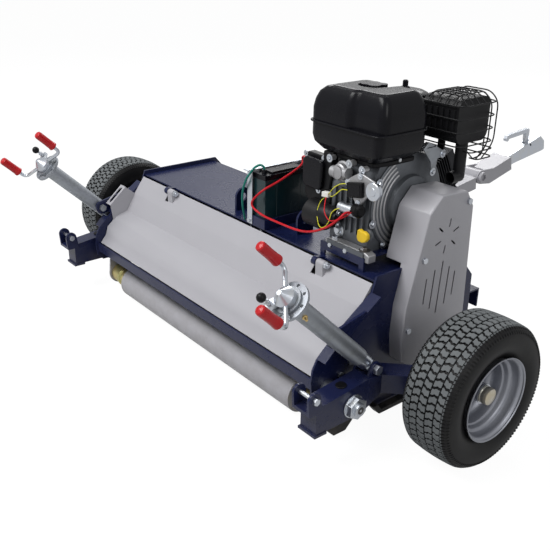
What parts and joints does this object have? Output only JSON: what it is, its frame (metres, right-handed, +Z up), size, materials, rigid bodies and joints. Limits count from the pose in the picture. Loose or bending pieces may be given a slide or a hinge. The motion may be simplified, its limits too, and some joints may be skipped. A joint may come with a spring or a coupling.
{
  "type": "atv brush mower",
  "caption": "Towed flail mower with its own engine, belt-driven rotor, lifting rear hood, roller, swing wheel arms with crank jacks and a hinged ball hitch.",
  "frame": {"origin": "middle of the overall footprint, on the ground under the wheels", "axes": "+Y is the travel direction along the drawbar, +X is the machine's right seen from behind, +Z is up"},
  "size_m": [1.94, 2.1683, 0.9033],
  "materials": {
    "navy_paint": "glossy powder coat",
    "silver_paint": "satin powder coat",
    "black_paint": "satin black",
    "zinc": "bright zinc plate",
    "steel": "machined",
    "cast_alloy": "as cast",
    "black_plastic": "moulded",
    "battery_green": "moulded",
    "red_grip": "glossy",
    "yellow_plastic": "moulded",
    "bearing_yellow": "painted",
    "belt_rubber": "matte",
    "tyre": "matte",
    "cable_green": "sheathed",
    "cable_red": "sheathed"
  },
  "bodies": {
    "deck": {"deck_shell": "navy_paint", "frame_bolts": "zinc", "roller_hangers": "silver_paint", "skid_runners": "black_paint", "engine_mount": "navy_paint", "drawbar": "silver_paint", "battery_tray": "navy_paint", "battery_case": "battery_green", "battery_lid": "black_plastic", "battery_strap": "zinc", "crankcase": "cast_alloy", "cylinder_head": "cast_alloy", "blower_housing": "black_plastic", "fuel_tank": "black_plastic", "air_cleaner": "black_plastic", "control_box": "black_plastic", "muffler": "black_paint", "muffler_guard": "black_paint", "exhaust_pipe": "black_paint", "starter_motor": "black_paint", "solenoid": "zinc", "ignition_module": "cast_alloy", "oil_fittings": "yellow_plastic", "belt_cover": "silver_paint", "belt_back_plate": "black_paint", "drive_belts": "belt_rubber", "rotor_bearings": "black_paint", "roller_bearings": "bearing_yellow", "hood_hinge_bolts": "zinc", "pivot_nuts": "zinc", "battery_cable": "cable_green", "starter_cable": "cable_red"},
    "hitch": {"hitch_sleeve": "silver_paint", "coupling_body": "zinc"},
    "latch": {"coupling_lever": "zinc"},
    "cap": {"fuel_cap": "black_plastic"},
    "rotor": {"rotor_drum": "black_paint", "flails": "zinc", "rotor_pulley": "steel"},
    "engine_shaft": {"engine_pulley": "steel"},
    "roller": {"roller": "silver_paint"},
    "hood": {"hood": "silver_paint"},
    "arm_left": {"arm_left": "navy_paint", "arm_bolts_left": "zinc"},
    "wheel_left": {"tyre_left": "tyre", "rim_left": "silver_paint"},
    "jack_left": {"jack_tube_left": "zinc"},
    "slide_left": {"jack_slide_left": "zinc"},
    "crank_left": {"crank_left": "zinc", "grips_left": "red_grip"},
    "plunger_left": {"plunger_left": "black_plastic"},
    "arm_right": {"arm_right": "navy_paint", "arm_bolts_right": "zinc"},
    "wheel_right": {"tyre_right": "tyre", "rim_right": "silver_paint"},
    "jack_right": {"jack_tube_right": "zinc"},
    "slide_right": {"jack_slide_right": "zinc"},
    "crank_right": {"crank_right": "zinc", "grips_right": "red_grip"},
    "plunger_right": {"plunger_right": "black_plastic"}
  },
  "joints": [
    {"name": "hitch_pivot", "type": "hinge", "parent": "deck", "child": "hitch", "pos_m": [0, 0.617, 0.36], "axis": [1, 0, 0], "range_deg": [-20, 20]},
    {"name": "latch_pivot", "type": "hinge", "parent": "hitch", "child": "latch", "pos_m": [0, 0.96485, 0.44054], "axis": [-1, 0, 0], "range_deg": [0, 35], "stiffness_Nm_per_rad": 2, "springref_deg": -20.05},
    {"name": "cap_turn", "type": "hinge", "parent": "deck", "child": "cap", "pos_m": [0.425, -0.448, 0.89], "axis": [0, 0, 1], "range_deg": [0, 90]},
    {"name": "rotor_spin", "type": "hinge", "parent": "deck", "child": "rotor", "pos_m": [0, -0.386, 0.215], "axis": [1, 0, 0], "continuous": true},
    {"name": "engine_spin", "type": "hinge", "parent": "deck", "child": "engine_shaft", "pos_m": [0.58, -0.371, 0.58], "axis": [1, 0, 0], "continuous": true},
    {"name": "roller_spin", "type": "hinge", "parent": "deck", "child": "roller", "pos_m": [0, -0.718, 0.062], "axis": [1, 0, 0], "continuous": true},
    {"name": "hood_hinge", "type": "hinge", "parent": "deck", "child": "hood", "pos_m": [0, -0.606, 0.418], "axis": [-1, 0, 0], "range_deg": [0, 95]},
    {"name": "arm_left_pivot", "type": "hinge", "parent": "deck", "child": "arm_left", "pos_m": [-0.68, -0.746, 0.153], "axis": [1, 0, 0], "range_deg": [-14, 4]},
    {"name": "wheel_left_spin", "type": "hinge", "parent": "arm_left", "child": "wheel_left", "pos_m": [-0.8925, -0.496, 0.203], "axis": [1, 0, 0], "continuous": true},
    {"name": "jack_left_swing", "type": "hinge", "parent": "deck", "child": "jack_left", "pos_m": [-0.672, -0.75416, 0.31933], "axis": [1, 0, 0], "range_deg": [-2.2, 0.7]},
    {"name": "jack_left_travel", "type": "slide", "parent": "jack_left", "child": "slide_left", "axis": [0, 0.7193, -0.6947], "range_m": [-0.0085, 0.028]},
    {"name": "crank_left_turn", "type": "hinge", "parent": "jack_left", "child": "crank_left", "pos_m": [-0.672, -0.934, 0.493], "axis": [0, -0.7193, 0.6947], "range_deg": [-570, 1975]},
    {"name": "plunger_left_pull", "type": "slide", "parent": "crank_left", "child": "plunger_left", "axis": [0, -0.7193, 0.6947], "range_m": [0, 0.008], "stiffness_N_per_m": 500, "springref_m": -0.008},
    {"name": "arm_right_pivot", "type": "hinge", "parent": "deck", "child": "arm_right", "pos_m": [0.68, -0.746, 0.153], "axis": [1, 0, 0], "range_deg": [-14, 4]},
    {"name": "wheel_right_spin", "type": "hinge", "parent": "arm_right", "child": "wheel_right", "pos_m": [0.8925, -0.496, 0.203], "axis": [1, 0, 0], "continuous": true},
    {"name": "jack_right_swing", "type": "hinge", "parent": "deck", "child": "jack_right", "pos_m": [0.672, -0.75416, 0.31933], "axis": [1, 0, 0], "range_deg": [-2.2, 0.7]},
    {"name": "jack_right_travel", "type": "slide", "parent": "jack_right", "child": "slide_right", "axis": [0, 0.7193, -0.6947], "range_m": [-0.0085, 0.028]},
    {"name": "crank_right_turn", "type": "hinge", "parent": "jack_right", "child": "crank_right", "pos_m": [0.672, -0.934, 0.493], "axis": [0, -0.7193, 0.6947], "range_deg": [-570, 1975]},
    {"name": "plunger_right_pull", "type": "slide", "parent": "crank_right", "child": "plunger_right", "axis": [0, -0.7193, 0.6947], "range_m": [0, 0.008], "stiffness_N_per_m": 500, "springref_m": -0.008}
  ],
  "couplings": [
    {"joint": "engine_spin", "follows": "rotor_spin", "ratio": 1.4048},
    {"joint": "jack_left_swing", "follows": "arm_left_pivot", "ratio": 0.15},
    {"joint": "jack_left_travel", "follows": "arm_left_pivot", "m_per_rad": -0.112},
    {"joint": "crank_left_turn", "follows": "arm_left_pivot", "ratio": -140.74},
    {"joint": "jack_right_swing", "follows": "arm_right_pivot", "ratio": 0.15},
    {"joint": "jack_right_travel", "follows": "arm_right_pivot", "m_per_rad": -0.112},
    {"joint": "crank_right_turn", "follows": "arm_right_pivot", "ratio": -140.74}
  ]
}
